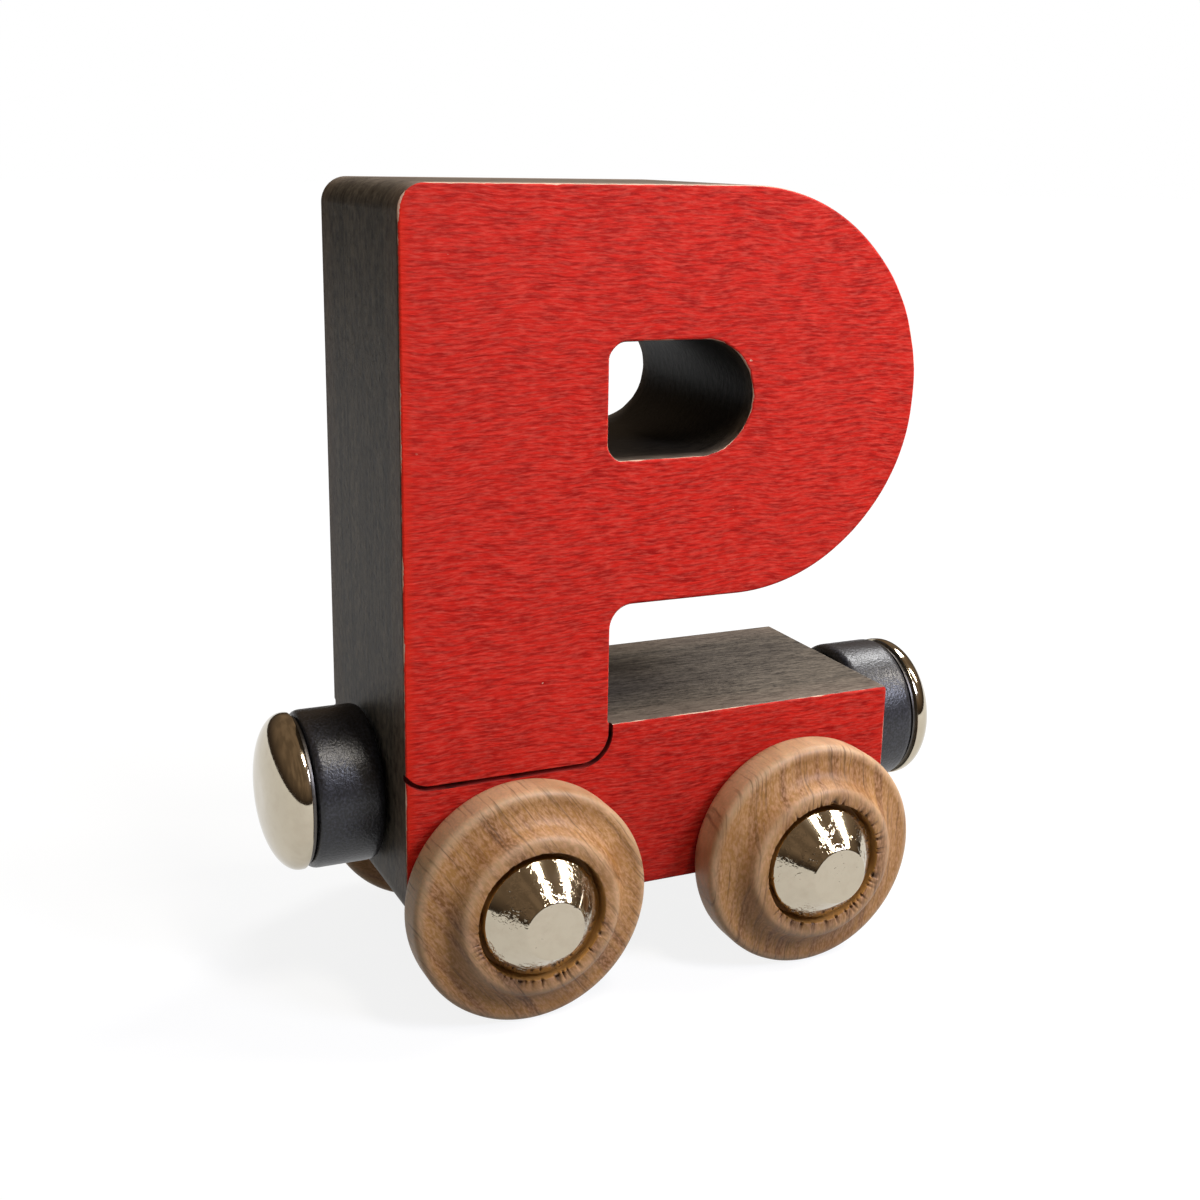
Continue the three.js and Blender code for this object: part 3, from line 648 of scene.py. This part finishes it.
# The lip of the counterbore is pushed outwards and inwards by random teeth, which fade out past the torn arc
def wheelGrid(low, high, outward, tear, random):
    d = wheel
    radius = (high[0] - low[0]) / 2
    inner = low[1] if outward > 0 else high[1]
    hubFace = high[1] - low[1]
    rim, floor = d["rimWidth"], hubFace - d["counterboreDepth"]
    corners = [
        (d["bore"], 0, d["boreEase"]), (radius, 0, d["backEase"]), (radius, rim, d["rimEase"]),
        (d["faceRadius"], rim, d["faceEase"]),
        (d["coveRadius"], rim + d["coveRise"] * (hubFace - rim), d["coveEase"]),
        (d["hub"], hubFace, d["hubEase"]), (d["counterbore"], hubFace, d["lipEase"]),
        (d["counterbore"], hubFace - d["lipDrop"], d["boreEase"]), (d["counterbore"], floor, d["floorEase"]),
        (d["bore"], floor, d["boreEase"]),
    ]
    profile = easedProfile(corners, d["easeSteps"])
    profile = np.broadcast_to(profile, (d["turns"], *profile.shape)).copy()
    places = np.arange(d["turns"]) / d["turns"]
    tooth = np.clip(loopNoise(places, d["teeth"], random), 0, 1) ** d["toothPower"]
    away = np.abs((places - tear[0] + 0.5) % 1 - 0.5) / tear[1]
    arc = d["tearFull"] - away ** d["tearPower"] + d["tearSway"] * loopNoise(places, d["tearKnots"], random)
    bite = (tooth * np.clip(arc, d["tearLeast"], 1))[:, None]
    fromLip = np.linalg.norm(profile[0] - (d["counterbore"], hubFace), axis=1)
    lip = np.exp(-((fromLip / d["toothReach"]) ** 2))
    profile[..., 0] += bite * lip * d["toothWide"]
    profile[..., 1] -= bite * lip * d["toothDeep"]
    raw = (profile[..., 0] < d["counterbore"] + d["rawPast"]) & (profile[..., 1] > floor - d["rawBelow"])
    # painted highlight on the hub's rounded edge, and the tread paler both as sanded wood and as painted
    # highlight
    fromEdge = np.linalg.norm(profile - (d["hub"] - d["edgeInset"], hubFace), axis=2)
    edge = np.exp(-((fromEdge / d["edgeReach"]) ** 2))
    tread = np.clip((profile[..., 0] - d["faceRadius"] - d["treadPast"]) / d["treadFade"], 0, 1)
    wornAndLit = {
        "torn": raw * d["rawShare"], "split": np.clip(d["splitShare"] * bite * lip, 0, d["splitMost"]),
        "sanded": np.maximum(tread, d["hubHighlightShare"] * edge),
    }
    seat = ((low[0] + high[0]) / 2, inner, (low[2] + high[2]) / 2)
    return turnedGrid(profile, d["turns"], seat, (0, outward, 0)), wornAndLit


# One turned wheel in each CAD wheel's box, with its own run of the grain and its own torn arc
def makeWheels():
    random = np.random.default_rng(wheel["seed"])
    for station, (turn, swing, start) in wheel["grain"].items():
        low, high = millimetres(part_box("wheel_" + station))
        grid, wornAndLit = wheelGrid(low, high, 1 if high[1] > 0 else -1, wheel["tear"][station], random)
        mesh = closeMesh(meshFrom("turned_wheel_" + station, [(grid, True, True)], wornAndLit))
        smoothMesh(mesh, wheel["sharp"])
        finish = turnedMaple("turned maple, " + station.replace("_", " "), turn, swing, start)
        place(mesh, "wheel_" + station, "wheel_" + station, [finish])


makeWheels()
print("wheels turned")


# Axle pins: a shank and a cone head with a flange and a flat end
axlePin = {
    "shank": 1.0, "flange": 1.5, "flat": 2.3, "coneHeight": 2.6,
    "ease": 0.12, "tipEase": 0.15, "neckEase": 0.05, "turns": 128, "easeSteps": 6, "sharp": 40,  # degrees
}


# Shank, flange, cone and flat end as one profile, turned about the pin's axis
def makeAxlePins():
    d = axlePin
    for station in wheel["grain"]:
        low, high = millimetres(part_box("axle_pin_" + station))
        outward = 1 if high[1] > -low[1] else -1
        tip, end = (low[1], high[1]) if outward > 0 else (-high[1], -low[1])
        head = (high[0] - low[0]) / 2
        back = end - d["coneHeight"] - d["flange"]
        corners = [(0, tip, 0), (d["shank"], tip, d["tipEase"]), (d["shank"], back, d["neckEase"]),
                   (head, back, d["ease"]), (head, back + d["flange"], d["ease"]),
                   (d["flat"], end, d["ease"]), (0, end, 0)]
        profile = easedProfile(corners, d["easeSteps"], closed=False)
        seat = ((low[0] + high[0]) / 2, 0, (low[2] + high[2]) / 2)
        grid = turnedGrid(profile, d["turns"], seat, (0, outward, 0))
        mesh = closeMesh(meshFrom("cone_pin_" + station, [(grid, True, False)]))
        smoothMesh(mesh, d["sharp"])
        place(mesh, "axle_pin_" + station, "car_body", [pittedPlate])


makeAxlePins()
print("axle pins turned")


# Couplings: a ring magnet, a washer and a dome-headed pin at each end
coupling = {
    "bore": 1.9, "boreEase": 0.1, "magnetEase": 0.75, "magnetSteps": 9,
    "washerBore": 1.7, "washerEase": 0.04, "washerSteps": 3,
    "shank": 1.6, "tipEase": 0.2, "neckEase": 0.05, "backEase": 0.08, "shankSteps": 4,
    "domeRim": 0.3, "domeFlat": 1.0, "domeSteps": 28, "turns": 160, "sharp": 40,  # degrees
}


# The section of a ring: two corners at its bore and two at its outside
def ringProfile(bore, radius, near, far, boreEase, ease, steps):
    corners = [(bore, near, boreEase), (radius, near, ease), (radius, far, ease), (bore, far, boreEase)]
    return easedProfile(corners, steps)


# The dome is a quarter ellipse from a straight rim in to a small flat crown
def domeProfile(tip, back, end, radius):
    d = coupling
    turn = np.linspace(0, np.pi / 2, d["domeSteps"])
    rim = back + d["domeRim"]
    across = d["domeFlat"] + (radius - d["domeFlat"]) * np.cos(turn)
    crown = np.stack([across, rim + (end - rim) * np.sin(turn)], axis=1)
    corners = [(0, tip, 0), (d["shank"], tip, d["tipEase"]), (d["shank"], back, d["neckEase"]),
               (radius, back, d["backEase"]), (radius, rim, 0)]
    shank = easedProfile(corners, d["shankSteps"], closed=False)
    return np.concatenate([shank, crown, [(0, end)]])


# Each end's three pieces are turned about one axis, which runs along the car through the magnet's middle
def makeCouplings():
    d = coupling
    for end, outward in (("left", -1), ("right", 1)):
        boxes = {}
        for kind in ("magnet", "magnet_washer", "magnet_pin"):
            low, high = millimetres(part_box(f"{kind}_{end}"))
            near, far = (low[0], high[0]) if outward > 0 else (-high[0], -low[0])
            boxes[kind] = (near, far, (high[2] - low[2]) / 2, (low[2] + high[2]) / 2)
        near, far, radius, height = boxes["magnet"]
        magnet = ringProfile(d["bore"], radius, near, far, d["boreEase"], d["magnetEase"], d["magnetSteps"])
        near, far, radius, _ = boxes["magnet_washer"]
        ease = d["washerEase"]
        washer = ringProfile(d["washerBore"], radius, near, far, ease, ease, d["washerSteps"])
        tip, crown, domeRadius, _ = boxes["magnet_pin"]
        dome = domeProfile(tip, far, crown, domeRadius)
        for name, profile, closed, node, body, slot, finish in (
            ("ring_magnet", magnet, True, "magnet", "magnet_" + end, "ferrite", magnetBlack),
            ("steel_washer", washer, True, "magnet_washer", "car_body", "dark_steel", washerSteel),
            ("dome_pin", dome, False, "magnet_pin", "car_body", "nickel_plate", plate),
        ):
            grid = turnedGrid(profile, d["turns"], (0, 0, height), (outward, 0, 0))
            mesh = closeMesh(meshFrom(f"{name}_{end}", [(grid, True, closed)]))
            smoothMesh(mesh, d["sharp"])
            place(mesh, f"{node}_{end}", body, [finish])


makeCouplings()
print("couplings made")


# Studio: a pale floor that fades to white, a window, two ceiling lamps, a lamp behind, and a dim room that
# the metal reflects
studio = {
    "floor": "#6c6c6c", "floorRings": 40, "floorTurns": 64,
    "floorMiddle": 0.001, "floorRadius": 3.0,  # metres
    "glow": (100.0, 450.0, 0.86, 1.0), "mirroredShadow": (30.0, 300.0, 0.92, 1.0),  # mm from the middle, strengths
    "sky": 0.22, "room": "#8c7761", "roomDark": "#74624f", "roomEdge": "#3d332a", "roomRadius": 0.6,
    "roomAround": (0, 360, 40), "roomRise": (0, 90, 20),  # degrees and rows
    "roomCloud": 166.667, "cloudSpan": (0.4, 0.6),  # mm
    "edgeRise": (40.0, 230.0),  # mm up the room, which is darkest at the floor
    "lamps": {
        "window": {"towards": (0.43, -0.66, 0.62), "distance": 0.32, "size": (0.085, 0.085),
                   "watts": 0.68, "tint": "#dde4ff"},
        "ceilingNear": {"towards": (0.12, -0.44, 0.89), "distance": 0.32, "size": (0.042, 0.085),
                        "watts": 0.42, "tint": "#fff8ee"},
        "ceilingFar": {"towards": (0.72, -0.23, 0.65), "distance": 0.32, "size": (0.036, 0.11),
                       "watts": 0.46, "tint": "#fff8ee"},
        "behind": {"towards": (0.54, 0.29, 0.79), "distance": 0.45, "size": (0.10, 0.14),
                   "watts": 1.00, "tint": "#ffffff"},
    },
}


# Seen by the camera, by mirrors or through glass: the greatest of the three, so 1 or 0
def seenRays(tree):
    path = put(tree, "LightPath").outputs
    seen = path["Is Camera Ray"]
    for key in ("Is Glossy Ray", "Is Transmission Ray"):
        seen = put(tree, "Math", {0: seen, 1: path[key]}, operation="MAXIMUM").outputs[0]
    return seen


# A disc of rings, each larger than the last by one ratio. Its glow rises from the middle outwards, and
# mirrors see the middle a little dimmer: a painted shadow round the car that only reflections show.
def makeFloor():
    s = studio
    radius = np.geomspace(s["floorMiddle"], s["floorRadius"], s["floorRings"]) / mm
    profile = np.stack([radius, np.zeros_like(radius)], axis=1)
    profile = np.vstack([[0, 0], profile])
    disc = turnedGrid(profile, s["floorTurns"], (0, 0, 0), (0, 1, 0))[..., [0, 2, 1]]
    mesh = meshFrom("floor", [(disc, True, False)])
    work = bmesh.new()
    work.from_mesh(mesh)
    bmesh.ops.remove_doubles(work, verts=work.verts, dist=1e-6)
    bmesh.ops.recalc_face_normals(work, faces=work.faces)
    work.to_mesh(mesh)
    work.free()
    floor = bpy.data.objects.new("floor", mesh)
    scene.collection.objects.link(floor)
    material, tree, p = startMaterial("pale paper floor")
    away = put(tree, "VectorMath", {0: p}, operation="LENGTH").outputs["Value"]
    glow = put(tree, "MapRange", (away, *s["glow"])).outputs[0]
    glow = put(tree, "Math", {0: glow, 1: seenRays(tree)}, operation="MULTIPLY").outputs[0]
    # painted shadow: reflections see the floor round the car dimmer
    mirroredShadow = put(tree, "MapRange", (away, *s["mirroredShadow"])).outputs[0]
    glossy = put(tree, "LightPath").outputs["Is Glossy Ray"]
    mirroredShadow = put(tree, "Mix", {0: glossy, 2: 1.0, 3: mirroredShadow}).outputs[0]
    glow = put(tree, "Math", {0: glow, 1: mirroredShadow}, operation="MULTIPLY").outputs[0]
    paper = put(tree, "BsdfDiffuse", {"Color": hexColour(s["floor"])})
    light = put(tree, "Emission", {"Strength": glow})
    endMaterial(tree, put(tree, "AddShader", {0: paper.outputs[0], 1: light.outputs[0]}))
    mesh.materials.append(material)


# Half a sphere round the studio, which only reflections see
def makeRoom():
    s = studio
    around = np.radians(np.linspace(*s["roomAround"]))[:, None]
    rise = np.radians(np.linspace(*s["roomRise"]))[None, :]
    ray = (np.cos(around) * np.cos(rise), np.sin(around) * np.cos(rise), np.sin(rise))
    sphere = np.stack(np.broadcast_arrays(*ray), axis=-1) * s["roomRadius"] / mm
    mesh = meshFrom("room", [(sphere, False, False)])
    room = bpy.data.objects.new("room", mesh)
    scene.collection.objects.link(room)
    material, tree, p = startMaterial("dim room")
    cloud = put(tree, "TexNoise", {"Vector": p, "Scale": 1 / s["roomCloud"], "Detail": 1.0}).outputs[0]
    mix = put(tree, "MapRange", (cloud, *s["cloudSpan"])).outputs[0]
    wall = {0: mix, 6: hexColour(s["roomDark"]), 7: hexColour(s["room"])}
    colour = put(tree, "Mix", wall, data_type="RGBA").outputs[2]
    height = put(tree, "SeparateXYZ", {0: p}).outputs["Z"]
    edge = put(tree, "MapRange", (height, *s["edgeRise"])).outputs[0]
    colour = put(tree, "Mix", {0: edge, 6: hexColour(s["roomEdge"]), 7: colour}, data_type="RGBA").outputs[2]
    endMaterial(tree, put(tree, "Emission", {"Color": colour}))
    mesh.materials.append(material)
    room.visible_camera = room.visible_diffuse = room.visible_shadow = room.visible_transmission = False


# Each lamp stands its distance out along its ray from the middle of the floor and looks back along it.
# The sky is a soft fill for surfaces, and plain white where it is seen.
def makeLight():
    for name, d in studio["lamps"].items():
        lamp = bpy.data.lights.new(name, "AREA")
        lamp.shape = "RECTANGLE"
        lamp.size, lamp.size_y = d["size"]
        lamp.energy = d["watts"]
        lamp.color = hexColour(d["tint"])[:3]
        seat = bpy.data.objects.new(name, lamp)
        ray = Vector(d["towards"]).normalized()
        turn = ray.to_track_quat("Z", "Y").to_matrix()
        seat.matrix_world = Matrix.Translation(ray * d["distance"]) @ turn.to_4x4()
        scene.collection.objects.link(seat)
    world = bpy.data.worlds.new("studio")
    world.use_nodes = True
    tree = world.node_tree
    tree.nodes.clear()
    soft = put(tree, "Background", {"Color": (1, 1, 1, 1), "Strength": studio["sky"]})
    white = put(tree, "Background", {"Color": (1, 1, 1, 1), "Strength": 1.0})
    mixed = put(tree, "MixShader", {0: seenRays(tree), 1: soft.outputs[0], 2: white.outputs[0]})
    put(tree, "OutputWorld", {"Surface": mixed.outputs[0]})
    scene.world = world


makeFloor()
makeRoom()
makeLight()
print("studio lit")
